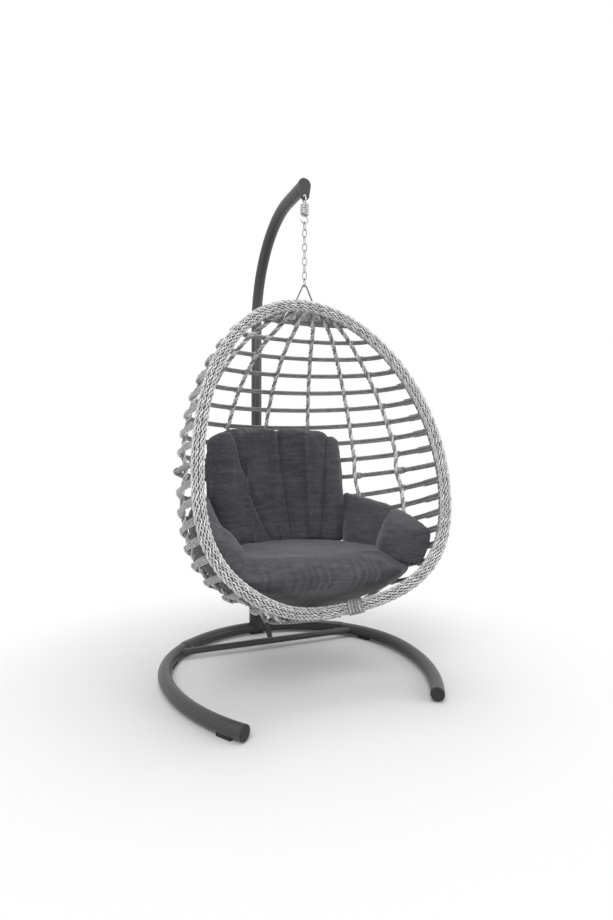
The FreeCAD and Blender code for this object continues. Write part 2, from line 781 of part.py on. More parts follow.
def build_rim():
    phis = [360.0 * k / rim_stations for k in range(rim_stations)]
    centre = [rim_point(phi) for phi in phis]
    rim = facet_solid(rings_along(centre, True, rim_band / 2, rim_depth / 2, ring_out, rim_sides), True)
    rim_room = facet_solid(rings_along(centre, True, rim_band / 2 + rest_gap, rim_depth / 2 + rest_gap,
                                       ring_out, rim_sides), True)
    behind = [p.add(V(rim_behind(phi)).multiply(hoop_setback)) for p, phi in zip(centre, phis)]
    hoop = round_bar(behind, True, hoop_d / 2, ring_out, hoop_sides)
    hoop_room = round_bar(behind, True, hoop_d / 2 + rest_gap, ring_out, hoop_sides)
    save(lean_shape(rim), "rim")
    save(lean_shape(hoop), "rear_hoop")

    # Binding: a short sleeve of cord turns round the rim, low on its right side
    radius = rim_point(binding_phi).sub(V(0, 0, rim_wide_level)).Length
    span = math.degrees(binding_length / radius)
    count = 2 * binding_turns + 1
    route = [rim_point(binding_phi + span * (k / (count - 1) - 0.5)) for k in range(count)]
    outer = []
    inner = []
    for k in range(count):
        line = [route[max(k - 1, 0)], route[min(k + 1, count - 1)]]
        grow = rest_gap + binding_cord * (binding_valley if k % 2 == 0 else 1.0)
        outer.append(section(route[k], line, rim_band / 2 + grow, rim_depth / 2 + grow))
        inner.append(section(route[k], line, rim_band / 2 + rest_gap, rim_depth / 2 + rest_gap))
    sleeve = tube_solid(outer, inner).cut(hoop_room).cut(rim_room)
    save(lean_shape(biggest(sleeve)), "rim_binding")
    return lean_shape(rim), hoop_room


def section(p, line, half_out, half_up, sides=rim_sides):
    t = line[1].sub(line[0]).normalize()
    o = ring_out(p)
    o = o.sub(V(t).multiply(o.dot(t))).normalize()
    u = t.cross(o)
    ring = []
    for j in range(sides):
        a = 2 * math.pi * (j + 0.5) / sides
        ring.append(p.add(V(o).multiply(half_out * math.cos(a))).add(V(u).multiply(half_up * math.sin(a))))
    return ring


def tube_solid(outer, inner):
    """Open-ended sleeve between two sets of rings."""
    faces = []
    n = len(outer[0])

    def quad(a, b, c, d):
        faces.append(Part.Face(Part.makePolygon([a, b, c, a])))
        faces.append(Part.Face(Part.makePolygon([a, c, d, a])))

    for i in range(len(outer) - 1):
        for j in range(n):
            k = (j + 1) % n
            quad(outer[i][j], outer[i][k], outer[i + 1][k], outer[i + 1][j])
            quad(inner[i][j], inner[i + 1][j], inner[i + 1][k], inner[i][k])
    for i in (0, -1):
        for j in range(n):
            k = (j + 1) % n
            quad(outer[i][j], outer[i][k], inner[i][k], inner[i][j])
    solid = Part.makeSolid(Part.makeShell(faces))
    if solid.Volume < 0:
        solid.reverse()
    return solid


def rope_turn(index, level):
    share = max(0.0, (level - belt_level) / (crown_level - belt_level))
    return index * rope_angle * (1 - rope_gather * share ** 2)


def crown_point(index):
    """Where a rope ends behind the rear hoop, at the top."""
    phi = math.degrees(math.asin(index * crown_spacing / rim_half_width))
    back = rim_depth / 2 + 2 * rest_gap + hoop_d + rope_d / 2
    return rim_point(phi).add(V(0, back, 0))


def build_cage(hoop_room):
    upper, lower = levels()
    for k, level in enumerate(upper):
        save(strap(level, hoop_room), "upper_strap_%d" % (k + 1))
    for k, level in enumerate(lower):
        save(strap(level, hoop_room), "lower_strap_%d" % (k + 1))

    # Belt: a round wrapped bar with sleeves where the ropes cross it
    points = [wall(belt_level, t) for t in both_sides(wall_side(belt_level, 4))]
    belt = round_bar(points, False, belt_d / 2, lambda p: V(0, 0, 1), 8)
    save(lean_shape(biggest(belt.cut(hoop_room))), "belt")
    rope_numbers = range(-ropes_each_side, ropes_each_side + 1)
    wraps = []
    for i in rope_numbers:
        turn = rope_turn(i, belt_level)
        p = wall(belt_level, turn)
        t = wall(belt_level, turn + 1).sub(wall(belt_level, turn - 1)).normalize().multiply(wrap_length / 2)
        inner_r = belt_d / 2 + wrap_slack
        outer_r = belt_d / 2 + wrap_thickness
        wrap = cylinder(p.sub(t), p.add(t), outer_r).cut(cylinder(p.sub(t), p.add(t), inner_r))
        wraps.append(lean_shape(wrap))
    save(Part.makeCompound(wraps), "belt_wraps")

    # Ropes run down the inside of the straps, from the crown to the bottom ring
    over_strap = strap_thickness / 2 + rope_d / 2 + rope_slack
    over_belt = belt_d / 2 + wrap_thickness + rope_d / 2 + rope_slack
    past_ring = (bottom_ring_d + rope_d * rope_flat) / 2 + 2 * rest_gap
    fan_lines = []
    for i in rope_numbers:
        route = [crown_point(i)]
        route += [wall_inside(level, rope_turn(i, level), over_strap) for level in reversed(upper)]
        route.append(wall_inside(belt_level, rope_turn(i, belt_level), over_belt))
        route += [wall_inside(level, rope_turn(i, level), over_strap) for level in lower]
        route.append(bottom_ring_point(i * bottom_rope_angle, past_ring))
        route = clear_bends(route, [level for level in reversed(upper)] + [belt_level] + lower, i)
        rope = round_bar(route, False, rope_d / 2, lambda p: V(p.x, p.y - bottom_y, 0), 6)
        save(lean_shape(rope), "rope_%d" % (i + ropes_each_side + 1))
        fan_lines.append((route[0], route[0].add(route[1].sub(route[0]).multiply(crown_share))))

    # Crown: the fan of cord that gathers the ropes behind the rim's top
    save(lean_shape(fan_solid(fan_lines, rope_d / 2 + 0.5 * rest_gap, crown_thickness)), "crown_fan")

    # Bottom: an oval ring and the woven mat inside it
    count = 24
    ring = [bottom_ring_point(360.0 * k / count) for k in range(count)]
    save(lean_shape(round_bar(ring, True, bottom_ring_d / 2, lambda p: V(0, 0, 1), 8)), "bottom_ring")
    shrink = bottom_ring_d / 2 + mat_gap
    outline = [bottom_ring_point(360.0 * k / count, -shrink) for k in range(count)]
    mat = Part.Face(Part.makePolygon(outline + [outline[0]])).extrude(V(0, 0, mat_thickness))
    mat.translate(V(0, 0, -mat_thickness / 2))
    save(lean_shape(mat), "bottom_mat")


def clear_bends(route, rows, index):
    """Move each bend of a rope in by what its straight runs would cut off a strap's edges."""
    moved = [route[0]]
    for k, level in enumerate(rows):
        up, inward = wall_axes(level, rope_turn(index, level))[1:]
        cut = 0.0
        for run in (route[k].sub(route[k + 1]), route[k + 2].sub(route[k + 1])):
            cut = max(cut, -run.dot(inward) / abs(run.dot(up)) * strap_height / 2)
        if level == rows[-1]:
            cut += low_strap_room
        moved.append(route[k + 1].add(inward.multiply(cut)))
    return moved + [route[-1]]


def fan_solid(lines, above, thickness):
    """Thin curved sheet just over a set of lines, on their outer side."""
    rings = []
    for k, (a, b) in enumerate(lines):
        across = lines[min(k + 1, len(lines) - 1)][1].sub(lines[max(k - 1, 0)][1])
        out = across.cross(b.sub(a)).normalize()
        if out.z < 0:
            out.multiply(-1)
        near = V(out).multiply(above)
        far = V(out).multiply(above + thickness)
        rings.append([a.add(near), b.add(near), b.add(far), a.add(far)])
    return facet_solid(rings, False)


def bottom_ring_point(angle, grow=0.0):
    a = math.radians(angle)
    return V((bottom_half_width + grow) * math.sin(a), bottom_y + (bottom_half_depth + grow) * math.cos(a),
             bottom_level)


def build_hanger(rim, top_z):
    """Bent rod over the rim's top, hooked through the last link."""
    r = hanger_top_radius
    apex = top_z + rest_gap + hanger_wire / 2
    half = hanger_foot_span / 2
    foot = apex - hanger_height
    centre = V(0, hang_y, apex - r)
    d = math.hypot(half, centre.z - foot)
    a = math.atan2(centre.z - foot, half) - math.acos(r / d)
    touch = V(r * math.cos(a), hang_y, centre.z - r * math.sin(a))
    left = V(-touch.x, touch.y, touch.z)
    foot_r = V(half, hang_y, foot)
    foot_l = V(-half, hang_y, foot)
    deeper = foot_r.sub(touch).normalize().multiply(30)
    end_r = foot_r.add(deeper)
    end_l = foot_l.add(V(-deeper.x, 0, deeper.z))
    route = Part.Wire([Part.makeLine(end_l, left), Part.Arc(left, V(0, hang_y, apex), touch).toShape(),
                       Part.makeLine(touch, end_r)])
    ring = Part.Wire(Part.makeCircle(hanger_wire / 2, end_l, left.sub(end_l)))
    rod = route.makePipeShell([ring], True, False)
    rod = rod.cut(rim)
    rod = max(rod.Solids, key=lambda s: s.BoundBox.ZMax)
    save(rod, "hanger_loop")


def wall_toward(height, bearing):
    """Wall point at a true height, seen from the cushion centre along a bearing from the back."""
    level = height
    for attempt in range(8):
        low = 0.0
        high = 90.0 + front_turn
        for step in range(24):
            middle = (low + high) / 2
            p = on_plane(level, flat_wall(level, middle))
            if math.degrees(math.atan2(p.x, p.y - cushion_centre_y)) < abs(bearing):
                low = middle
            else:
                high = middle
        level += height - p.z
    return V(math.copysign(p.x, bearing) if bearing else 0.0, p.y, height)


back_pad_inset = belt_d / 2 + wrap_thickness + rope_d + 2 * rest_gap + back_pad_slack
arm_pad_inset = strap_thickness / 2 + rope_d + 2 * rest_gap + arm_pad_slack


def soft(value, power):
    return math.copysign(abs(value) ** power, value)


def pad_ring(bearing, low, high, thick, inset):
    """Closed outline in an upright plane: flat on the wall side, crowned on the sitter's side."""
    a = math.radians(bearing)
    inward = V(-math.sin(a), -math.cos(a), 0)
    ring = []
    for k in range(pad_sides):
        b = 2 * math.pi * (k + 0.5) / pad_sides
        height = (low + high) / 2 + (high - low) / 2 * soft(math.sin(b), pad_end_power)
        power = pad_crown_power if math.cos(b) > 0 else pad_flat_power
        depth = thick * (0.5 + 0.5 * soft(math.cos(b), power))
        ring.append(wall_toward(height, bearing).add(V(inward).multiply(inset + depth)))
    return ring


def build_cushions():
    # Back pad: four fan panels between three sewn channels
    half = back_pad_half
    rows = []
    width = 2 * half / back_pad_panels
    for k in range(back_pad_panels):
        start = -half + k * width
        if k > 0:
            rows.append((start, back_pad_thick * pad_seam))
        for share, full in pad_profile:
            rows.append((start + width * share, back_pad_thick * full))
    rows = [(-half, back_pad_thick * pad_edge)] + rows + [(half, back_pad_thick * pad_edge)]
    rings = []
    for bearing, thick in rows:
        drop = back_pad_corner * abs(bearing / half) ** 4
        rings.append(pad_ring(bearing, back_pad_low + drop * 0.4, back_pad_high - drop, thick,
                              back_pad_inset))
    save(lean_shape(facet_solid(rings, False)), "back_cushion")

    # Arm pads: from the back pad to the rim, lower towards the front, with one sewn channel
    rings = []
    count = len(arm_pad_profile) - 1
    for k, full in enumerate(arm_pad_profile):
        share = k / count
        bearing = arm_pad_start + (arm_pad_end - arm_pad_start) * share
        top = arm_pad_back_high + (arm_pad_front_high - arm_pad_back_high) * share
        low = arm_pad_back_low + (arm_pad_front_low - arm_pad_back_low) * share
        rings.append(pad_ring(bearing, low, top, arm_pad_thick * full, arm_pad_inset))
    right = lean_shape(facet_solid(rings, False))
    save(right, "arm_cushion_right")
    save(mirror_x(right), "arm_cushion_left")

    # Seat pad: a plump round pad, drawn in at its foot and crowned on top
    rings = [seat_oval(*row) for row in seat_foot] + [seat_ring(*row) for row in seat_rows]
    save(lean_shape(facet_solid(rings, False)), "seat_cushion")


def seat_bearings():
    return [2 * math.pi * k / seat_sides for k in range(seat_sides)]


def seat_oval(height, half_x, middle_y, half_y):
    return [V(half_x * math.sin(a), middle_y + half_y * math.cos(a), height) for a in seat_bearings()]


def seat_ring(height, inset, front, tilt):
    """Outline that follows the wall at the sides and back and a straight front edge."""
    ring = []
    for a in seat_bearings():
        bearing = math.degrees(a)
        if bearing > 180:
            bearing -= 360
        level = height + tilt * (wall_toward(height, bearing).y - cushion_centre_y)
        p = wall_toward(level, bearing)
        reach = math.hypot(p.x, p.y - cushion_centre_y) - inset
        if math.cos(a) < 0:
            ahead = (cushion_centre_y - front) / -math.cos(a)
            power = seat_corner_power
            reach = (reach ** -power + ahead ** -power) ** (-1 / power)
        y = cushion_centre_y + reach * math.cos(a)
        ring.append(V(reach * math.sin(a), y, height + tilt * (y - cushion_centre_y)))
    return ring


build_base()
arm_tip = build_post()
eye_low = build_end_plate(arm_tip)
spring_low = build_spring(eye_low)
chain_low = build_chain(spring_low)
rim_solid, hoop_space = build_rim()
build_hanger(rim_solid, chain_low)
build_cage(hoop_space)
build_cushions()
print("eye z", round(eye_low, 2), "spring low", round(spring_low, 2), "chain low", round(chain_low, 2),
      "origin y", round(origin_y, 3))
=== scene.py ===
import math
import random
import bpy
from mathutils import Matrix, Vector, noise
from mathutils.bvhtree import BVHTree


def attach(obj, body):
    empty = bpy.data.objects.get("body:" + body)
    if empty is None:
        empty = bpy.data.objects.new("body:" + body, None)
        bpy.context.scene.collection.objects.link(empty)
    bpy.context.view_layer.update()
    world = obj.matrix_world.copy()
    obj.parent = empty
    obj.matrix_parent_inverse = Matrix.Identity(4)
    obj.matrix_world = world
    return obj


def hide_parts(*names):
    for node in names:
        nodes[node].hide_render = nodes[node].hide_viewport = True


# Hanging egg chair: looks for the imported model. The woven basket is worked out in millimetres in
# the basket's own upright frame, as in the part's source, and placed in the chair by place().

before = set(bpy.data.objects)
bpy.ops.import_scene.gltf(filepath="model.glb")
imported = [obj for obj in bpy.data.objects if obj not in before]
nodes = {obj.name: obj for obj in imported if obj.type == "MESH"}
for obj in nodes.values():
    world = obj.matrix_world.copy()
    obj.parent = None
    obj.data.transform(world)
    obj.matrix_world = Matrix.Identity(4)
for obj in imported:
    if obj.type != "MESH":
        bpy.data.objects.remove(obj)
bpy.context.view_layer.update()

origin_y = 25.287
hang_y = -108.0
basket_lean = math.radians(9.5)
basket_ref_z = 1535.0
rim_wide_level = -796.0
rim_half_width = 468.5
rim_up = 715.5
rim_down = 449.6
rim_belly = -128.0
rim_rise_top = 139.0
rim_rise_bottom = 169.0
rim_top_power = 1.77
rim_bottom_power = 9.76
rim_hip = 0.062
rim_half_band = 24.0
rim_half_depth = 20.0
hoop_setback = 28.85
belt_level = -722.0
upper_pitch = 64.0
lower_pitch = 59.0
upper_levels = [belt_level + upper_pitch * (k + 1) for k in range(9)]
lower_levels = [belt_level - lower_pitch * (k + 1) for k in range(8)]
wall_bulge = 17.0
back_depth = 765.0
back_down = 548.0
back_point = 1.8
back_round = 2.2
widest_share = 0.28
fan_belt = 0.05
fan_rise = 0.00044
fan_drop = 0.22
fan_fade = 180.0
crown_level = -85.0
front_turn = 36.0
rope_angle = 27.0
rope_gather = 0.35
crown_spacing = 36.0
bottom_rope_angle = 45.0
bottom_level = -1278.0
bottom_half_width = 140.0
bottom_half_depth = 86.0
bottom_y = 215.0
cushion_centre_y = 100.0


def V(x, y, z):
    return Vector((x, y, z))


def place(p):
    c = math.cos(basket_lean)
    s = math.sin(basket_lean)
    y = hang_y + p.y * c + p.z * s - origin_y
    return Vector((p.x, y, basket_ref_z - p.y * s + p.z * c)) * 0.001


def upright(p):
    """The opposite of place()."""
    c = math.cos(basket_lean)
    s = math.sin(basket_lean)
    y = p.y * 1000 + origin_y - hang_y
    z = p.z * 1000 - basket_ref_z
    return V(p.x * 1000, y * c - z * s, y * s + z * c)


def rim_point(phi):
    c = math.cos(phi)
    s = math.sin(phi)
    if c >= 0:
        return V(rim_half_width * s, rim_belly + rim_rise_top * c ** rim_top_power,
                 rim_wide_level + rim_up * c)
    return V(rim_half_width * s * (1 + rim_hip * math.sin(2 * phi) ** 2),
             rim_belly + rim_rise_bottom * (-c) ** rim_bottom_power, rim_wide_level + rim_down * c)


def rim_at(level):
    height = level - rim_wide_level
    share = height / (rim_up if height >= 0 else rim_down)
    return rim_point(math.acos(max(-1.0, min(1.0, share))))


def fan(level):
    rise = level - belt_level
    if rise >= 0:
        return math.atan(fan_belt + fan_rise * rise)
    return math.atan(fan_belt - fan_drop * (1 - math.exp(rise / fan_fade)))


def depth_at(level):
    height = level - belt_level
    if height >= 0:
        return back_depth * (1 - (height / (crown_level - belt_level)) ** back_point)
    left = max(0.01, 1 - (-height / back_down) ** back_round)
    return back_depth * left ** (1 / back_round)


def wall(level, turn):
    """Middle of the basket's wall; turn is 0 at the back and over 90 degrees near the rim."""
    depth = depth_at(level)
    widest = widest_share * depth
    half = rim_at(level).x + wall_bulge
    if abs(turn) <= 90:
        a = math.radians(turn)
        x = half * math.sin(a)
        y = widest + (depth - widest) * math.cos(a)
    else:
        t = (abs(turn) - 90) / front_turn
        x = math.copysign(half - wall_bulge * t * t, turn)
        y = widest * (1 - t)
    a = fan(level)
    return V(x, rim_at(level).y + y * math.cos(a), level + y * math.sin(a))


def wall_axes(level, turn):
    """Directions at a point of the wall: up the wall, and inward."""
    round_it = (wall(level, turn + 1) - wall(level, turn - 1)).normalized()
    up = wall(level + 1, turn) - wall(level - 1, turn)
    inward = round_it.cross(up).normalized()
    return inward.cross(round_it), inward


def strap_turns(level, count):
    end = 90 + front_turn * (1 - hoop_setback / (widest_share * depth_at(level)))
    return [end * (2 * k / count - 1) for k in range(count + 1)]


def ring_out(p):
    return V(p.x, 0, p.z - rim_wide_level)


def along(points, closed, outward):
    """Points of a route with two directions square to it, the first one near outward(point)."""
    found = []
    last = len(points) - 1
    for i, p in enumerate(points):
        before = points[i - 1] if i > 0 or closed else p
        after = points[(i + 1) % len(points)] if i < last or closed else p
        t = (after - before).normalized()
        o = outward(p)
        o = (o - t * o.dot(t)).normalized()
        found.append((p, o, t.cross(o)))
    return found


def smooth_route(points, parts):
    """Catmull-Rom curve through the points."""
    made = []
    last = len(points) - 1
    for i in range(last):
        p0 = points[max(i - 1, 0)]
        p1 = points[i]
        p2 = points[i + 1]
        p3 = points[min(i + 2, last)]
        for k in range(parts):
            t = k / parts
            made.append(0.5 * (2 * p1 + (p2 - p0) * t + (2 * p0 - 5 * p1 + 4 * p2 - p3) * t * t
                               + (3 * p1 - p0 - 3 * p2 + p3) * t ** 3))
    return made + [points[-1]]


def lengths(points):
    total = [0.0]
    for a, b in zip(points, points[1:]):
        total.append(total[-1] + (b - a).length)
    return total


class Weave:
    """Tubes and bands gathered into one mesh, each with its own material number."""

    def __init__(self):
        self.points = []
        self.faces = []
        self.kinds = []

    def skin(self, rings, closed, kind, shift=0):
        start = len(self.points)
        n = len(rings[0])
        for ring in rings:
            self.points += ring
        count = len(rings)
        for i in range(count if closed else count - 1):
            a = start + i * n
            b = start + ((i + 1) % count) * n
            turn = shift if i == count - 1 else 0
            for j in range(n):
                k = (j + 1) % n
                self.faces.append((a + j, a + k, b + (k + turn) % n, b + (j + turn) % n))
                self.kinds.append(kind)
        if not closed:
            self.faces.append(tuple(start + j for j in reversed(range(n))))
            self.faces.append(tuple(start + (count - 1) * n + j for j in range(n)))
            self.kinds += [kind, kind]

    def tube(self, points, radius, kind=0, sides=6, closed=False, ends=1.0):
        rings = []
        normal = None
        first = None
        last = len(points) - 1
        for i, p in enumerate(points):
            before = points[i - 1] if i > 0 or closed else p
            after = points[(i + 1) % len(points)] if i < last or closed else p
            t = (after - before).normalized()
            if normal is None:
                normal = t.orthogonal()
            normal = (normal - t * normal.dot(t)).normalized()
            side = t.cross(normal)
            if first is None:
                first = (normal.copy(), side.copy())
            r = radius * (ends if i in (0, last) and not closed else 1.0)
            rings.append([p + normal * (r * math.cos(2 * math.pi * j / sides))
                          + side * (r * math.sin(2 * math.pi * j / sides)) for j in range(sides)])
        shift = 0
        if closed:
            angle = math.atan2(first[0].dot(side), first[0].dot(normal))
            shift = -round(angle / (2 * math.pi / sides))
        self.skin(rings, closed, kind, shift)

    def make(self, name, materials):
        mesh = bpy.data.meshes.new(name)
        mesh.from_pydata([place(p) for p in self.points], [], self.faces)
        for m in materials:
            mesh.materials.append(m)
        mesh.polygons.foreach_set("material_index", self.kinds)
        mesh.polygons.foreach_set("use_smooth", [True] * len(self.faces))
        mesh.update()
        made = bpy.data.objects.new(name, mesh)
        bpy.context.scene.collection.objects.link(made)
        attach(made, "basket")
        return made


# Materials

def shader(name, roughness, metallic=0.0, sheen=0.0, coat=0.0):
    made = bpy.data.materials.new(name)
    made.use_nodes = True
    tree = made.node_tree
    main = tree.nodes["Principled BSDF"]
    main.inputs["Roughness"].default_value = roughness
    main.inputs["Metallic"].default_value = metallic
    main.inputs["Sheen Weight"].default_value = sheen
    main.inputs["Coat Weight"].default_value = coat
    place_node = tree.nodes.new("ShaderNodeTexCoord")
    return made, tree, main, place_node.outputs["Object"]


def noise_node(tree, vector, scale, stretch=(1, 1, 1), detail=3.0):
    mapping = tree.nodes.new("ShaderNodeMapping")
    mapping.inputs["Scale"].default_value = stretch
    tree.links.new(vector, mapping.inputs["Vector"])
    made = tree.nodes.new("ShaderNodeTexNoise")
    made.inputs["Scale"].default_value = scale
    made.inputs["Detail"].default_value = detail
    tree.links.new(mapping.outputs["Vector"], made.inputs["Vector"])
    return made.outputs["Fac"]


def ramp(tree, value, stops):
    made = tree.nodes.new("ShaderNodeValToRGB")
    items = made.color_ramp.elements
    while len(items) < len(stops):
        items.new(0.5)
    for item, (at, colour) in zip(items, stops):
        item.position = at
        item.color = (*colour, 1.0)
    tree.links.new(value, made.inputs["Fac"])
    return made.outputs["Color"]


def bump(tree, height, strength, distance, main):
    made = tree.nodes.new("ShaderNodeBump")
    made.inputs["Strength"].default_value = strength
    made.inputs["Distance"].default_value = distance
    tree.links.new(height, made.inputs["Height"])
    tree.links.new(made.outputs["Normal"], main.inputs["Normal"])


def mix_values(tree, a, b, operation="ADD"):
    made = tree.nodes.new("ShaderNodeMath")
    made.operation = operation
    tree.links.new(a, made.inputs[0])
    tree.links.new(b, made.inputs[1])
    return made.outputs["Value"]


def speckled(name, dark, light, roughness, scale, bumps, metallic=0.0, coat=0.0, stretch=(1, 1, 1)):
    made, tree, main, where = shader(name, roughness, metallic, coat=coat)
    spots = noise_node(tree, where, scale, stretch)
    tree.links.new(ramp(tree, spots, [(0.35, dark), (0.65, light)]), main.inputs["Base Color"])
    fine = noise_node(tree, where, scale * 6, stretch, 2.0)
    bump(tree, fine, bumps, 0.0006, main)
    return made


def grey(value, blue=1.0):
    return (value, value, value * blue)


def fabric_material():
    made, tree, main, where = shader("fabric_grey", 0.82, sheen=0.25)
    upright_threads = noise_node(tree, where, 7.0, (90, 90, 7))
    level_threads = noise_node(tree, where, 7.0, (7, 7, 95))
    slubs = noise_node(tree, where, 3.0, (4, 4, 26), 5.0)
    both = mix_values(tree, mix_values(tree, upright_threads, level_threads), slubs)
    stops = [(0.40, grey(0.026, 1.10)), (0.50, grey(0.046, 1.10)), (0.60, grey(0.082, 1.12))]
    third = tree.nodes.new("ShaderNodeMath")
    third.operation = "DIVIDE"
    third.inputs[1].default_value = 3.0
    tree.links.new(both, third.inputs[0])
    tree.links.new(ramp(tree, third.outputs["Value"], stops), main.inputs["Base Color"])
    bump(tree, both, 0.35, 0.0008, main)
    return made


paint = speckled("stand_paint", grey(0.030), grey(0.044), 0.42, 260, 0.12, coat=0.1)
rubber = speckled("black_rubber", grey(0.012), grey(0.022), 0.7, 180, 0.25)
zinc = speckled("zinc_plate", grey(0.36), grey(0.62), 0.30, 90, 0.08, metallic=1.0)
bolt = speckled("screw_steel", grey(0.10), grey(0.20), 0.35, 120, 0.1, metallic=1.0)
pale = speckled("strand_pale", grey(0.34), grey(0.66), 0.45, 55, 0.5)
white = speckled("strand_white", grey(0.55), grey(0.82), 0.45, 60, 0.5)
ash = speckled("strand_ash", grey(0.15), grey(0.32), 0.45, 60, 0.5)
dark = speckled("strand_dark", grey(0.018), grey(0.055), 0.5, 60, 0.5)
strap_grey = speckled("strap_grey", grey(0.21), grey(0.34), 0.33, 30, 0.25, stretch=(1, 1, 6))
# Seam lines: a near-black colour, painted shade of the sewn channels laid over the seams' stitching.
seam_painted_shade = speckled("seam_thread_painted_shade", grey(0.008), grey(0.016), 0.8, 300, 0.5)
fabric = fabric_material()

finish = {"spring": zinc, "chain_upper_links": zinc, "chain_lower_links": zinc, "hanger_loop": bolt,
          "leg_plug_right": rubber, "leg_plug_left": rubber, "foot_pads": rubber,
          "sleeve_screws": bolt, "crossbar_screws": bolt, "post_screws": bolt}
for name, node in nodes.items():
    node.data.materials.clear()
    node.data.materials.append(finish.get(name, paint))
    node.data.polygons.foreach_set("material_index", [0] * len(node.data.polygons))


# Camera at the photograph's angle

camera = bpy.data.objects.new("camera", bpy.data.cameras.new("camera"))
bpy.context.scene.collection.objects.link(camera)
camera.location = (-0.81088, -2.08053, 0.84273)
facing = Vector((0.38784, 0.92172, 0.0048))
camera.rotation_euler = facing.to_track_quat("-Z", "Y").to_euler()
camera.data.sensor_fit = "HORIZONTAL"
camera.data.sensor_width = 36.0
camera.data.lens = 31.75
bpy.context.scene.camera = camera


# Rim: rows of crossing strand pairs round a dark core

rim_stations = 900
rim_core_out = 18.5
rim_core_up = 14.5
rim_columns = 8
rim_lay = 44.0
rim_strand_radius = 2.6
rim_strand_sink = 2.9
rim_strand_dip = 2.2
rim_strand_swing = 0.27
rim_column_shift = 1.9


def build_rim():
    route = [rim_point(2 * math.pi * k / rim_stations) for k in range(rim_stations)]
    made = lengths(route + [route[0]])
    stations = along(route, True, ring_out)
    weave = Weave()
    rings = []
    for p, o, u in stations[::6]:
        rings.append([p + o * (rim_core_out * math.cos(2 * math.pi * j / 12))
                      + u * (rim_core_up * math.sin(2 * math.pi * j / 12)) for j in range(12)])
    weave.skin(rings, True, 3)
    lays = round(made[-1] / rim_lay)
    for c in range(rim_columns):
        middle = 2 * math.pi * (c + 0.5) / rim_columns
        for half in range(2):
            points = []
            for i, (p, o, u) in enumerate(stations):
                phase = (2 * math.pi * lays * made[i] / made[-1] + math.pi * half
                         + rim_column_shift * c)
                a = middle + rim_strand_swing * math.sin(phase)
                dip = rim_strand_dip * (1 - math.cos(phase))
                points.append(p + o * ((rim_half_band - rim_strand_sink - dip) * math.cos(a))
                              + u * ((rim_half_depth - rim_strand_sink - dip) * math.sin(a)))
            weave.tube(points[::2], rim_strand_radius, (c + half) % 2, closed=True, sides=6)
    piece = weave.make("rim_weave", [pale, white, ash, dark])
    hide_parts("rim")


# Rear hoop: a dark core with crossing cords

hoop_stations = 720
hoop_core_radius = 6.6
hoop_lay = 59.0
hoop_cord_radius = 1.9
hoop_cord_out = 8.3
hoop_cord_wave = 0.9
hoop_pair_step = 0.19


def hoop_point(phi):
    p = rim_point(phi)
    t = rim_point(phi + 0.009) - rim_point(phi - 0.009)
    square = t.cross(ring_out(p)).normalized()
    return p + square * (hoop_setback if square.y > 0 else -hoop_setback)


def build_hoop():
    route = [hoop_point(2 * math.pi * k / hoop_stations) for k in range(hoop_stations)]
    made = lengths(route + [route[0]])
    stations = along(route, True, ring_out)
    weave = Weave()
    weave.tube([p for p, o, u in stations][::4], hoop_core_radius, 3, closed=True, sides=10)
    turns = round(made[-1] / hoop_lay)
    for hand in (1, -1):
        for start in range(3):
            for side_step in (-hoop_pair_step, hoop_pair_step):
                points = []
                for i, (p, o, u) in enumerate(stations):
                    a = (hand * 2 * math.pi * turns * made[i] / made[-1] + start * 2 * math.pi / 3
                         + side_step)
                    r = hoop_cord_out + hoop_cord_wave * math.cos(3 * a)
                    points.append(p + o * (r * math.cos(a)) + u * (r * math.sin(a)))
                weave.tube(points, hoop_cord_radius, 0 if hand > 0 else 1, closed=True, sides=5)
    piece = weave.make("rear_hoop_cords", [pale, ash, white, dark])
    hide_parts("rear_hoop")


# Straps: ribbed bands, double inside and fourfold outside, with corded sleeves at their ends

rod_middles = (5.3, -5.3)
rod_half_high = 5.2
rod_half_thick = 4.3
rib_middles = (-7.6, -2.5, 2.5, 7.6)
rib_half_high = 2.6
rib_half_thick = 2.4
strap_steps = 72
sleeve_cords = 8
sleeve_steps = 8
sleeve_pitch = 3.3
sleeve_cord_radius = 1.95
sleeve_out = 5.6


def strap_profile():
    """Outline of a strap's section: (height up the wall, distance inward) of each point."""
    points = []
    for middle in rod_middles:
        for k in range(7):
            a = math.radians(78 - 26 * k)
            points.append((middle + rod_half_high * math.sin(a), rod_half_thick * math.cos(a) - 0.3))
    for middle in rib_middles:
        for k in range(5):
            a = math.radians(-70 + 35 * k)
            points.append((middle + rib_half_high * math.sin(a), -1.4 - rib_half_thick * math.cos(a)))
    return points


def build_straps():
    profile = strap_profile()
    for kind, rows in (("upper", upper_levels), ("lower", lower_levels)):
        for number, level in enumerate(rows):
            weave = Weave()
            rings = []
            turns = strap_turns(level, strap_steps)
            for turn in turns:
                p = wall(level, turn)
                up, inward = wall_axes(level, turn)
                rings.append([p + up * h + inward * d for h, d in profile])
            weave.skin(rings, False, 0)
            for turn_list in (turns[:sleeve_steps], turns[-sleeve_steps:]):
                for k in range(sleeve_cords):
                    rib = []
                    for turn in turn_list:
                        p = wall(level, turn)
                        up, inward = wall_axes(level, turn)
                        rib.append(p + up * (sleeve_pitch * (k - (sleeve_cords - 1) / 2))
                                   - inward * sleeve_out)
                    weave.tube(rib, sleeve_cord_radius, 1 + k % 2, sides=6, ends=0.5)
            name = "%s_strap_%d" % (kind, number + 1)
            piece = weave.make(name + "_ribbed", [strap_grey, pale, ash])
            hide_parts(name)


# Ropes: three twisted strands each, from the crown to the bottom ring

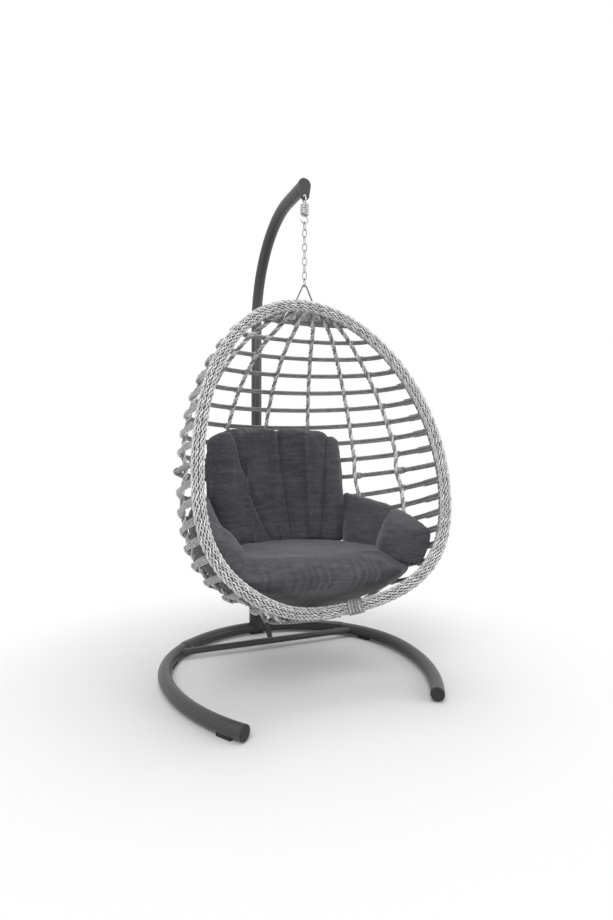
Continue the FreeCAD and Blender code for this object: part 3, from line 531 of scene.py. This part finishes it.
rope_half = 8.0
rope_inside = 14.0
rope_inside_at_belt = 26.5
rope_start_behind_rim = 45.7
rope_end_past_ring = 17.0
rope_lay = 58.0
rope_strand_out = 4.8
rope_strand_radius = 4.6
loop_cord_radius = 2.3
loop_high = 13.0
loop_deep = 6.8
loop_apart = 4.5
loop_cross = 3.5


def rope_turn(index, level):
    share = max(0.0, (level - belt_level) / (crown_level - belt_level))
    return index * rope_angle * (1 - rope_gather * share ** 2)


def bottom_ring_point(angle, grow=0.0):
    a = math.radians(angle)
    return V((bottom_half_width + grow) * math.sin(a),
             bottom_y + (bottom_half_depth + grow) * math.cos(a), bottom_level)


def rope_route(index):
    """Corners of a rope's route, moved inward where a run would cut into the strap it passes."""
    rows = list(reversed(upper_levels)) + [belt_level] + lower_levels
    phi = math.asin(index * crown_spacing / rim_half_width)
    route = [rim_point(phi) + V(0, rope_start_behind_rim, 0)]
    for level in rows:
        turn = rope_turn(index, level)
        inside = rope_inside_at_belt if level == belt_level else rope_inside
        route.append(wall(level, turn) + wall_axes(level, turn)[1] * inside)
    route.append(bottom_ring_point(index * bottom_rope_angle, rope_end_past_ring))
    moved = [route[0]]
    for k, level in enumerate(rows):
        up, inward = wall_axes(level, rope_turn(index, level))
        cut = 0.0
        for run in (route[k] - route[k + 1], route[k + 2] - route[k + 1]):
            cut = max(cut, -run.dot(inward) / abs(run.dot(up)) * rope_half)
        moved.append(route[k + 1] + inward * cut)
    return moved + [route[-1]]


def build_ropes():
    for index in range(-3, 4):
        corners = rope_route(index)
        route = smooth_route(corners, 14)
        made = lengths(route)
        stations = along(route, False, lambda p: V(p.x, p.y - bottom_y, 0))
        weave = Weave()
        for k in range(3):
            points = []
            for i, (p, o, u) in enumerate(stations):
                a = 2 * math.pi * (made[i] / rope_lay + k / 3)
                points.append(p + o * (rope_strand_out * math.cos(a))
                              + u * (rope_strand_out * math.sin(a)))
            weave.tube(points, rope_strand_radius, k, sides=8, ends=0.6)
        for level in upper_levels + lower_levels:
            turn = rope_turn(index, level)
            p = wall(level, turn)
            up, inward = wall_axes(level, turn)
            round_it = up.cross(inward)
            for side in (-1, 1):
                loop = []
                for j in range(18):
                    a = 2 * math.pi * j / 18
                    loop.append(p + round_it * (side * loop_apart + loop_cross * math.sin(a))
                                + up * (loop_high * math.sin(a)) + inward * (loop_deep * math.cos(a)))
                weave.tube(loop, loop_cord_radius, 0 if side > 0 else 1, closed=True, sides=6)
        piece = weave.make("rope_%d_twisted" % (index + 4), [pale, white, ash])
        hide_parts("rope_%d" % (index + 4))


# Belt: a dark wound bar with pale bindings where the ropes cross it

belt_steps = 200
belt_core_radius = 7.8
belt_cords = 5
belt_lay = 75.0
belt_cord_out = 7.3
belt_cord_radius = 3.6
wrap_cords = 9
wrap_pitch = 3.9
wrap_half_high = 13.6
wrap_half_deep = 13.4
wrap_cord_radius = 1.95
wrap_flare = 0.18
wrap_lift = 3.0


def build_belt():
    route = [wall(belt_level, t) for t in strap_turns(belt_level, belt_steps)]
    made = lengths(route)
    stations = along(route, False, lambda p: V(0, 0, 1))
    weave = Weave()
    weave.tube([p for p, o, u in stations], belt_core_radius, 1, sides=10)
    for k in range(belt_cords):
        points = []
        for i, (p, o, u) in enumerate(stations):
            a = 2 * math.pi * (made[i] / belt_lay + k / belt_cords)
            points.append(p + o * (belt_cord_out * math.cos(a)) + u * (belt_cord_out * math.sin(a)))
        weave.tube(points, belt_cord_radius, 0 if k % 2 else 2, sides=6)
    piece = weave.make("belt_wound", [strap_grey, dark, ash])
    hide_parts("belt")
    wraps = Weave()
    for index in range(-3, 4):
        turn = rope_turn(index, belt_level)
        p = wall(belt_level, turn)
        t = (wall(belt_level, turn + 1) - wall(belt_level, turn - 1)).normalized()
        up, inward = wall_axes(belt_level, turn)
        half = (wrap_cords - 1) / 2
        for k in range(wrap_cords):
            shift = (k - half) * wrap_pitch
            loop = []
            for j in range(20):
                a = 2 * math.pi * j / 20
                lift = wrap_lift * math.cos(a) * (1 - abs(k - half) / half)
                loop.append(p + t * (shift * (1 + wrap_flare * math.cos(a)))
                            + up * (wrap_half_high * math.sin(a))
                            + inward * (wrap_half_deep * math.cos(a) + min(lift, 0.0)))
            wraps.tube(loop, wrap_cord_radius, 0 if k % 3 else 1, closed=True, sides=6)
    piece = wraps.make("belt_bindings", [pale, ash])
    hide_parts("belt_wraps")


# Binding round the rim, low on its right side

binding_phi = math.radians(166.0)
binding_cords = 9
binding_pitch = 4.9
binding_half_out = 26.0
binding_half_up = 22.0
binding_slant = 1.5
binding_cord_radius = 2.5


def build_binding():
    weave = Weave()
    middle = rim_point(binding_phi)
    radius = (middle - V(0, 0, rim_wide_level)).length
    for k in range(binding_cords):
        phi = binding_phi + (k - (binding_cords - 1) / 2) * binding_pitch / radius
        p = rim_point(phi)
        t = (rim_point(phi + 0.01) - rim_point(phi - 0.01)).normalized()
        o = ring_out(p)
        o = (o - t * o.dot(t)).normalized()
        u = t.cross(o)
        loop = []
        for j in range(28):
            a = 2 * math.pi * j / 28
            loop.append(p + o * (binding_half_out * math.cos(a)) + u * (binding_half_up * math.sin(a))
                        + t * (binding_slant * math.sin(a)))
        weave.tube(loop, binding_cord_radius, 0 if k % 2 else 1, closed=True, sides=7)
    piece = weave.make("rim_binding_cord", [pale, ash])
    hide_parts("rim_binding")


# Crown: cords fanning from behind the rim's top to the highest strap

crown_cords = 96
crown_cord_radius = 3.3
crown_top_angle = 21.0
crown_low_turn = 62.0


def build_crown():
    random.seed(7)
    weave = Weave()
    level = upper_levels[-1]
    for layer in range(2):
        for k in range(crown_cords):
            s = 2 * (k + 0.5 + random.uniform(-0.4, 0.4)) / crown_cords - 1
            top = hoop_point(math.radians(crown_top_angle * s))
            turn = crown_low_turn * s
            up, inward = wall_axes(level, turn)
            low = wall(level, turn) - inward * (4.0 + 3.0 * layer) + up * random.uniform(-2, 3)
            side = (wall(level, turn + 2) - wall(level, turn - 2)).normalized()
            swing = random.uniform(-9, 9)
            sag = random.uniform(-5.0, 1.0)
            points = []
            for j in range(11):
                t = j / 10
                round_over = math.sin(math.pi * t)
                p = top.lerp(low, t) + side * (swing * round_over) - inward * (9.0 + sag) * round_over
                points.append(p)
            weave.tube(points, crown_cord_radius, random.choice((0, 0, 1, 1, 1)), sides=6, ends=0.7)
    piece = weave.make("crown_cords", [pale, white, ash])
    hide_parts("crown_fan")


# Bottom: a corded ring and a woven mat inside it

ring_stations = 240
ring_core_radius = 6.4
ring_lay = 30.0
ring_cords = 4
ring_cord_out = 6.2
ring_cord_radius = 2.7
mat_pitch = 13.0
mat_inset = 12.5
mat_lift = 1.9
mat_cord_radius = 2.0
mat_step = 3.2


def build_bottom():
    route = [bottom_ring_point(360.0 * k / ring_stations) for k in range(ring_stations)]
    made = lengths(route + [route[0]])
    stations = along(route, True, lambda p: V(0, 0, 1))
    ring = Weave()
    ring.tube(route, ring_core_radius, 1, closed=True, sides=8)
    turns = round(made[-1] / ring_lay)
    for k in range(ring_cords):
        points = []
        for i, (p, o, u) in enumerate(stations):
            a = 2 * math.pi * (turns * made[i] / made[-1] + k / ring_cords)
            points.append(p + o * (ring_cord_out * math.cos(a)) + u * (ring_cord_out * math.sin(a)))
        ring.tube(points, ring_cord_radius, (0, 2)[k % 2], closed=True, sides=6)
    piece = ring.make("bottom_ring_cords", [pale, dark, ash])
    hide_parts("bottom_ring")
    mat = Weave()
    wide = bottom_half_width - mat_inset
    deep = bottom_half_depth - mat_inset
    for axis in (0, 1):
        first, second = (wide, deep) if axis == 0 else (deep, wide)
        rows = int(first / mat_pitch)
        for r in range(-rows, rows + 1):
            at = r * mat_pitch
            reach = second * math.sqrt(max(0.0, 1 - (at / first) ** 2)) - 2
            if reach < mat_pitch:
                continue
            points = []
            steps = int(2 * reach / mat_step) + 1
            for k in range(steps + 1):
                s = -reach + 2 * reach * k / steps
                lift = mat_lift * math.cos(math.pi * s / mat_pitch) * (1 if (r + axis) % 2 else -1)
                points.append(V(at if axis == 0 else s, bottom_y + (s if axis == 0 else at),
                                bottom_level + lift))
            mat.tube(points, mat_cord_radius, axis, sides=6, ends=0.6)
    piece = mat.make("bottom_mat_woven", [pale, ash])
    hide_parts("bottom_mat")


build_rim()
build_hoop()
build_straps()
build_ropes()
build_belt()
build_binding()
build_crown()
build_bottom()


# Cushions: copies of the pads' solids, puffed by a cloth simulation, reshaped, then sewn

cloth_frames = 16
cloth_pressure = 4.0


def select_only(item):
    bpy.ops.object.select_all(action="DESELECT")
    item.select_set(True)
    bpy.context.view_layer.objects.active = item


def normals_push(item, amount):
    item.data.update()
    moves = [v.normal * amount for v in item.data.vertices]
    for v, m in zip(item.data.vertices, moves):
        v.co += m


def puffed(node, name, voxel, cap, start_smaller, held, relaxing=6):
    """Cloth simulation with inner pressure; held(point) is how firmly a point stays, 0 to 1, and
    cap is how far any point may move. Lengths are in metres."""
    mesh = nodes[node].data.copy()
    item = bpy.data.objects.new(name, mesh)
    bpy.context.scene.collection.objects.link(item)
    mesh.materials.clear()
    mesh.materials.append(fabric)
    select_only(item)
    remesh = item.modifiers.new("remesh", "REMESH")
    remesh.mode = "VOXEL"
    remesh.voxel_size = voxel
    bpy.ops.object.modifier_apply(modifier="remesh")
    relax = item.modifiers.new("relax", "SMOOTH")
    relax.factor = 0.5
    relax.iterations = relaxing
    bpy.ops.object.modifier_apply(modifier="relax")
    normals_push(item, -start_smaller)
    before = [v.co.copy() for v in item.data.vertices]
    group = item.vertex_groups.new(name="held")
    for v in item.data.vertices:
        share = held(upright(v.co))
        if share > 0:
            group.add([v.index], share, "REPLACE")
    cloth = item.modifiers.new("cloth", "CLOTH")
    settings = cloth.settings
    settings.quality = 5
    settings.mass = 0.3
    settings.use_pressure = True
    settings.uniform_pressure_force = cloth_pressure
    settings.vertex_group_mass = "held"
    settings.effector_weights.gravity = 0.0
    settings.tension_stiffness = 12.0
    settings.compression_stiffness = 4.0
    settings.bending_stiffness = 0.4
    cloth.point_cache.frame_start = 1
    cloth.point_cache.frame_end = cloth_frames
    for step in range(1, cloth_frames + 1):
        bpy.context.scene.frame_set(step)
    bpy.context.view_layer.update()
    bpy.ops.object.modifier_apply(modifier="cloth")
    bpy.context.scene.frame_set(1)
    item.vertex_groups.clear()
    for v, was in zip(item.data.vertices, before):
        move = v.co - was
        if move.length > cap:
            v.co = was + move * (cap / move.length)
    item.data.polygons.foreach_set("use_smooth", [True] * len(item.data.polygons))
    return item


def wall_reach(height, bearing):
    """Distance from the cushion centre to the wall's middle, at a height and bearing."""
    level = height
    for attempt in range(5):
        low = 0.0
        high = 90.0 + front_turn
        for step in range(16):
            turn = (low + high) / 2
            p = wall(level, turn)
            if bearing_of(p) < bearing:
                low = turn
            else:
                high = turn
        level += height - p.z
    return math.hypot(p.x, p.y - cushion_centre_y)


reach_rows = {}
reach_height_step = 20.0
reach_bearing_step = 4.0
reach_last_bearing = 124.0


def reach_at(p):
    """The same, blended between values worked out once for each step of height and bearing."""
    h = p.z / reach_height_step
    b = abs(bearing_of(p)) / reach_bearing_step
    i = math.floor(h)
    j = math.floor(b)
    total = 0.0
    for di, wi in ((0, 1 - h + i), (1, h - i)):
        for dj, wj in ((0, 1 - b + j), (1, b - j)):
            key = (i + di, j + dj)
            if key not in reach_rows:
                bearing = min(key[1] * reach_bearing_step, reach_last_bearing)
                reach_rows[key] = wall_reach(key[0] * reach_height_step, bearing)
            total += wi * wj * reach_rows[key]
    return total


def reshape(item, change):
    """Move each point by change(point, distance in from the wall), in the basket's upright frame."""
    for v in item.data.vertices:
        p = upright(v.co)
        depth = reach_at(p) - math.hypot(p.x, p.y - cushion_centre_y)
        v.co = place(p + change(p, depth))
    item.data.update()


def inward_at(p):
    return V(-p.x, cushion_centre_y - p.y, 0).normalized()


def ease(t):
    t = max(0.0, min(1.0, t))
    return t * t * (3 - 2 * t)


def bearing_of(p):
    return math.degrees(math.atan2(p.x, p.y - cushion_centre_y))


def wrinkle(item, size, height, seed):
    """Soft creases: ridged noise pushed along the normals."""
    item.data.update()
    moves = []
    for v in item.data.vertices:
        q = v.co * (1 / size) + Vector((seed, seed * 2, seed * 3))
        value = noise.noise(q) + 0.5 * noise.noise(q * 2.3)
        moves.append(v.normal * (-height * abs(value) ** 0.7))
    for v, m in zip(item.data.vertices, moves):
        v.co += m


seam_steps = 60
seam_lift = 0.4
seam_radius = 1.3


def groove(item, seams, depth, width, low=0.0):
    """Sewn channels: the surface drawn in along seams, each a bearing at the height low and the
    degrees that it turns per millimetre of height."""
    item.data.update()
    moves = []
    for v in item.data.vertices:
        p = upright(v.co)
        reach = math.hypot(p.x, p.y - cushion_centre_y)
        pull = 0.0
        for at, slope in seams:
            line = at + slope * (p.z - low)
            gap = math.radians(bearing_of(p) - line) * reach
            pull = max(pull, math.exp(-(gap / width) ** 2))
        moves.append(-v.normal * (pull * depth * 0.001))
    for v, m in zip(item.data.vertices, moves):
        v.co += m
    item.data.update()


def seam_lines(item, name, seams, low, high):
    """Near-black lines laid on the pad's inner face along the channels: the stitched seams, coloured
    with painted shade of the sewn channels.
    """
    item.data.update()
    tree = BVHTree.FromPolygons([upright(v.co) for v in item.data.vertices],
                                [tuple(p.vertices) for p in item.data.polygons])
    weave = Weave()
    for at, slope in seams:
        points = []
        for k in range(seam_steps + 1):
            z = low + (high - low) * k / seam_steps
            a = math.radians(at + slope * (z - low))
            aim = V(math.sin(a), math.cos(a), 0)
            hit = tree.ray_cast(V(0, cushion_centre_y, z), aim)
            if hit[0] is not None:
                points.append(hit[0] - aim * seam_lift)
        if len(points) > 3:
            weave.tube(points, seam_radius, 0, sides=6, ends=0.4)
    weave.make(name, [seam_painted_shade])


def back_held(p):
    """The back pad's outer face, against the ropes, hardly moves."""
    return 0.85 if math.hypot(p.x, p.y - cushion_centre_y) > 520 else 0.0


pad_half_turn = 46.0
pad_panel_turn = 23.0
last_panel_turn = 40.0
channel_edge = 0.16
channel_depth = 0.68
panel_depth = 0.9


def fill_channels(p, depth):
    """Evens out the solid's three channels, so that the fanned ones can be sewn in their place;
    also lowers the pad's foot, crowns its top and fills its lower front."""
    b = bearing_of(p)
    share = ((b + pad_half_turn) % pad_panel_turn) / pad_panel_turn
    edge = min(share, 1 - share)
    if edge < channel_edge:
        full = channel_depth + (panel_depth - channel_depth) * edge / channel_edge
    else:
        full = panel_depth + (1 - panel_depth) * (edge - channel_edge) / (0.5 - channel_edge)
    if abs(b) > last_panel_turn:
        full = max(full, panel_depth)
    inner = ease((depth - 45.0) / 50.0)
    grow = (depth - 30.0) * (1 / full - 1) * inner
    drop = -30.0 * ease((-820.0 - p.z) / 160.0)
    crown = 20.0 * ease((p.z + 620.0) / 120.0) * (1 - (b / 50.0) ** 2)
    low = 22.0 * ease((-860.0 - p.z) / 110.0) * inner
    return inward_at(p) * (grow + low) + V(0, 0, drop + crown)


def fatten_arm(p, depth):
    """The arm pad swells towards the sitter, its rear reaches the back pad and its foot the seat."""
    low = ease((-850.0 - p.z) / 170.0)
    inner = ease((depth - 40.0) / 60.0)
    b = abs(bearing_of(p))
    behind = ease((72.0 - b) / 24.0) * ease((depth - 20.0) / 40.0)
    front = ease((b - 84.0) / 20.0) * inner
    plump = 14.0 * math.sin(math.pi * ease((p.z + 1080.0) / 300.0)) * inner
    side = V(-p.y + cushion_centre_y, p.x, 0).normalized() * (1 if p.x > 0 else -1)
    return (inward_at(p) * (58.0 * low * inner + plump + 16.0 * front)
            + side * (24.0 * behind) + V(0, 0, -26.0 * low))


def widen_seat(p, depth):
    """Between the rim and the last ropes the seat pad reaches nearly to the wall; its top rises."""
    ahead = ease((abs(bearing_of(p)) - 86.0) / 14.0)
    high = ease((p.z + 1230.0) / 70.0) * ease((-1045.0 - p.z) / 30.0)
    rise = 13.0 * ease((p.z + 1095.0) / 50.0)
    return inward_at(p) * (-26.0 * ahead * high * ease((150.0 - depth) / 60.0)) + V(0, 0, rise)


def arm_held(p):
    """The arm pads' outer faces hardly move."""
    half = rim_at(min(p.z, -400.0)).x
    return 0.8 if math.hypot(p.x, p.y - cushion_centre_y) > 0.87 * half else 0.0


def finish_pad(item, node):
    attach(item, "basket")
    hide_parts(node)


back_low = -986.0
back_seam_high = -478.0
back_seams = [(-5.0, -0.0613), (10.0, -0.0119), (30.0, 0.0198)]
back_pad = puffed("back_cushion", "back_pad", 0.007, 0.014, 0.001, back_held, 16)
reshape(back_pad, fill_channels)
wrinkle(back_pad, 0.16, 0.005, 1.0)
groove(back_pad, back_seams, 11.0, 13.0, back_low)
finish_pad(back_pad, "back_cushion")
seam_lines(back_pad, "back_pad_seams", back_seams, back_low, back_seam_high)

arm_seam_turn = 81.0
arm_seam_low = -1000.0
arm_seam_high = -880.0
for side, node in ((1, "arm_cushion_right"), (-1, "arm_cushion_left")):
    seams = [(side * arm_seam_turn, 0.0)]
    pad = puffed(node, node.replace("cushion", "pad"), 0.0065, 0.016, 0.001, arm_held, 26)
    reshape(pad, fatten_arm)
    wrinkle(pad, 0.12, 0.004, 2.0 + side)
    groove(pad, seams, 6.0, 10.0)
    finish_pad(pad, node)
    seam_lines(pad, node.replace("cushion", "pad") + "_seams", seams, arm_seam_low, arm_seam_high)


def gather_front(item):
    """Folds drawn into the seat pad's lower front edge."""
    item.data.update()
    random.seed(11)
    waves = [(random.uniform(0.02, 0.05), random.uniform(0, 6.3)) for k in range(5)]
    moves = []
    for v in item.data.vertices:
        p = upright(v.co)
        front = max(0.0, min(1.0, (60 - p.y) / 110))
        low = max(0.0, 1 - abs(p.z + 1120) / 75)
        value = sum(math.sin(2 * math.pi * p.x * f + s) for f, s in waves) / len(waves)
        moves.append(v.normal * (front * low * 0.011 * value))
    for v, m in zip(item.data.vertices, moves):
        v.co += m


seat_pad = puffed("seat_cushion", "seat_pad", 0.008, 0.008, 0.003, lambda p: 0.0)
reshape(seat_pad, widen_seat)
gather_front(seat_pad)
wrinkle(seat_pad, 0.22, 0.005, 4.0)
finish_pad(seat_pad, "seat_cushion")


# Floor, world and lamps

def stage():
    mesh = bpy.data.meshes.new("floor")
    edge = 30.0
    mesh.from_pydata([(-edge, -edge, 0), (edge, -edge, 0), (edge, edge, 0), (-edge, edge, 0)], [],
                     [(0, 1, 2, 3)])
    floor = bpy.data.objects.new("floor", mesh)
    bpy.context.scene.collection.objects.link(floor)
    made, tree, main, where = shader("floor_white", 0.9)
    main.inputs["Base Color"].default_value = (0.86, 0.86, 0.86, 1)
    shine = tree.nodes.new("ShaderNodeEmission")
    shine.inputs["Color"].default_value = (1, 1, 1, 1)
    shine.inputs["Strength"].default_value = 1.0
    length = tree.nodes.new("ShaderNodeVectorMath")
    length.operation = "LENGTH"
    tree.links.new(where, length.inputs[0])
    spread = tree.nodes.new("ShaderNodeMapRange")
    spread.inputs["From Min"].default_value = 0.6
    spread.inputs["From Max"].default_value = 1.5
    spread.interpolation_type = "SMOOTHSTEP"
    tree.links.new(length.outputs["Value"], spread.inputs["Value"])
    rays = tree.nodes.new("ShaderNodeLightPath")
    seen = tree.nodes.new("ShaderNodeMath")
    seen.operation = "MAXIMUM"
    tree.links.new(rays.outputs["Is Camera Ray"], seen.inputs[0])
    tree.links.new(rays.outputs["Is Glossy Ray"], seen.inputs[1])
    share = mix_values(tree, spread.outputs["Result"], seen.outputs["Value"], "MULTIPLY")
    blend = tree.nodes.new("ShaderNodeMixShader")
    tree.links.new(share, blend.inputs["Fac"])
    tree.links.new(main.outputs["BSDF"], blend.inputs[1])
    tree.links.new(shine.outputs["Emission"], blend.inputs[2])
    tree.links.new(blend.outputs["Shader"], tree.nodes["Material Output"].inputs["Surface"])
    mesh.materials.append(made)

    world = bpy.data.worlds.new("studio")
    bpy.context.scene.world = world
    world.use_nodes = True
    tree = world.node_tree
    tree.nodes.clear()
    rays = tree.nodes.new("ShaderNodeLightPath")
    first = tree.nodes.new("ShaderNodeMath")
    first.operation = "MAXIMUM"
    tree.links.new(rays.outputs["Is Camera Ray"], first.inputs[0])
    tree.links.new(rays.outputs["Is Glossy Ray"], first.inputs[1])
    seen = tree.nodes.new("ShaderNodeMath")
    seen.operation = "MAXIMUM"
    tree.links.new(first.outputs["Value"], seen.inputs[0])
    tree.links.new(rays.outputs["Is Transmission Ray"], seen.inputs[1])
    soft = tree.nodes.new("ShaderNodeBackground")
    soft.inputs["Color"].default_value = (1, 1, 1, 1)
    soft.inputs["Strength"].default_value = 0.45
    shown = tree.nodes.new("ShaderNodeBackground")
    shown.inputs["Color"].default_value = (1, 1, 1, 1)
    shown.inputs["Strength"].default_value = 1.0
    blend = tree.nodes.new("ShaderNodeMixShader")
    out = tree.nodes.new("ShaderNodeOutputWorld")
    tree.links.new(seen.outputs["Value"], blend.inputs["Fac"])
    tree.links.new(soft.outputs["Background"], blend.inputs[1])
    tree.links.new(shown.outputs["Background"], blend.inputs[2])
    tree.links.new(blend.outputs["Shader"], out.inputs["Surface"])


def lamp(name, location, target, size, power):
    data = bpy.data.lights.new(name, "AREA")
    data.shape = "SQUARE"
    data.size = size
    data.energy = power
    item = bpy.data.objects.new(name, data)
    item.location = location
    aim = Vector(target) - Vector(location)
    item.rotation_euler = aim.to_track_quat("-Z", "Y").to_euler()
    bpy.context.scene.collection.objects.link(item)


stage()
lamp("key", (-2.0, -3.0, 3.4), (0, 0, 0.8), 2.4, 95)
lamp("fill", (3.0, -2.2, 2.0), (0, 0, 0.9), 2.6, 40)
lamp("top", (0.2, 0.6, 4.2), (0, 0, 0.6), 2.6, 60)
bpy.context.scene.view_settings.view_transform = "Standard"
